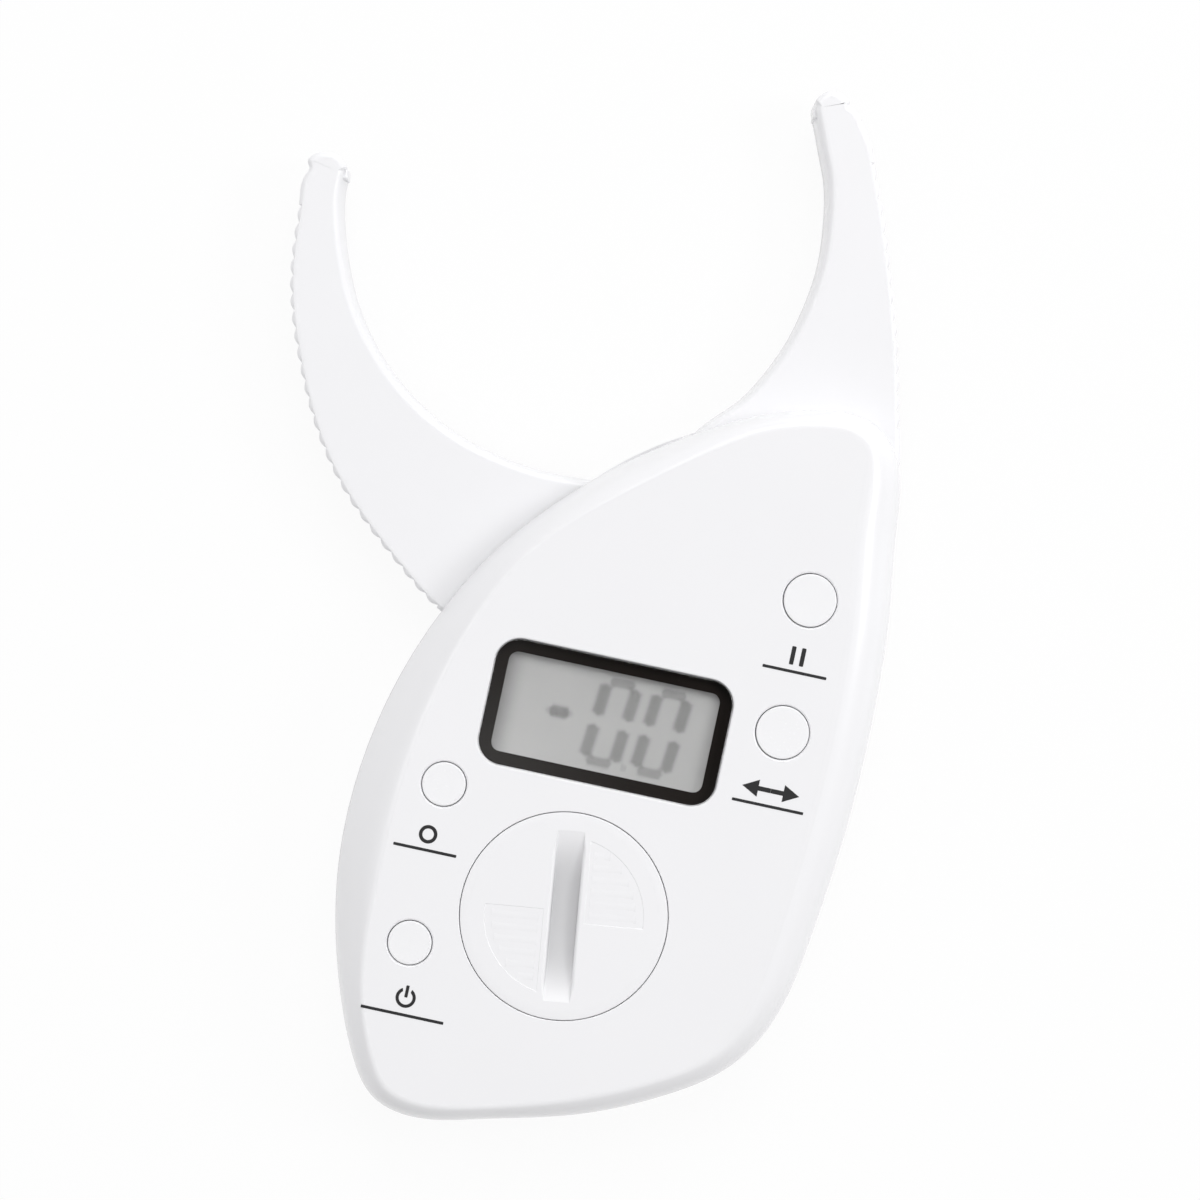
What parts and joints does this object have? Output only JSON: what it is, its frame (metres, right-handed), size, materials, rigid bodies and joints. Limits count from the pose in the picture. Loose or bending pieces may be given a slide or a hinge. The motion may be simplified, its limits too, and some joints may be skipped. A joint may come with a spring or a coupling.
{
  "type": "digital skinfold caliper",
  "caption": "Hand-held caliper with a display housing, one fixed jaw and one sprung pivoting jaw, for measuring the thickness of a pinched skinfold.",
  "frame": {"origin": "where the jaw's pivot axis meets the housing's rear face; the caliper lies on its back", "axes": "+Z out of the front face with the display, +Y from the battery cap towards the jaws, +X to the fixed jaw's side"},
  "size_m": [0.0849, 0.1383, 0.0161],
  "materials": {
    "cover_plastic": "gloss white",
    "steel": "plain",
    "board": "solder mask",
    "contact_gold": "plated",
    "chip_black": "resin",
    "ceramic_chip": "fired",
    "crystal_can": "drawn can",
    "holder_plastic": "satin",
    "strip_rubber": "silicone",
    "lcd_glass": "grey display glass",
    "lcd_segment": "liquid crystal strokes",
    "mask_ink": "dark print",
    "window_clear": "clear polycarbonate",
    "button_plastic": "gloss white",
    "switch_black": "moulded",
    "mark_ink": "pad print",
    "cell_steel": "nickel plate",
    "contact_bronze": "spring bronze"
  },
  "bodies": {
    "housing": {"front_cover": "cover_plastic", "rear_cover": "cover_plastic", "pivot_washer": "steel", "pivot_screw": "steel", "torsion_spring": "steel", "board_screws": "steel", "case_screws": "steel", "circuit_board": "board", "stator_electrodes": "contact_gold", "chip_capacitors": "ceramic_chip", "controller_chip": "chip_black", "clock_crystal": "crystal_can", "display_holder": "holder_plastic", "connector_strips": "strip_rubber", "display_glass": "lcd_glass", "display_digits": "lcd_segment", "window_mask": "mask_ink", "display_window": "window_clear", "switch_bodies": "switch_black", "printed_marks": "mark_ink", "coin_cell": "cell_steel", "negative_contact": "contact_bronze", "positive_contact": "contact_bronze"},
    "jaw": {"moving_jaw": "cover_plastic", "rotor_board": "board", "rotor_electrodes": "contact_gold"},
    "hold_key": {"hold_button": "button_plastic", "hold_plunger": "switch_black"},
    "unit_key": {"unit_button": "button_plastic", "unit_plunger": "switch_black"},
    "zero_key": {"zero_button": "button_plastic", "zero_plunger": "switch_black"},
    "power_key": {"power_button": "button_plastic", "power_plunger": "switch_black"},
    "cap": {"battery_cap": "cover_plastic"}
  },
  "joints": [
    {"name": "jaw_swing", "type": "hinge", "parent": "housing", "child": "jaw", "pos_m": [0, 0, 0.0058], "axis": [0, 0, -1], "range_deg": [0, 56.6], "stiffness_Nm_per_rad": 0.02, "springref_deg": -20.05, "deforming": ["torsion_spring"]},
    {"name": "hold_press", "type": "slide", "parent": "housing", "child": "hold_key", "axis": [0, 0, -1], "range_m": [0, 0.0005], "stiffness_N_per_m": 900, "springref_m": -0.0003},
    {"name": "unit_press", "type": "slide", "parent": "housing", "child": "unit_key", "axis": [0, 0, -1], "range_m": [0, 0.0005], "stiffness_N_per_m": 900, "springref_m": -0.0003},
    {"name": "zero_press", "type": "slide", "parent": "housing", "child": "zero_key", "axis": [0, 0, -1], "range_m": [0, 0.0005], "stiffness_N_per_m": 900, "springref_m": -0.0003},
    {"name": "power_press", "type": "slide", "parent": "housing", "child": "power_key", "axis": [0, 0, -1], "range_m": [0, 0.0005], "stiffness_N_per_m": 900, "springref_m": -0.0003},
    {"name": "battery_cap_turn", "type": "hinge", "parent": "housing", "child": "cap", "pos_m": [0, -0.0449, 0.0154], "axis": [0, 0, 1], "range_deg": [0, 60]}
  ]
}
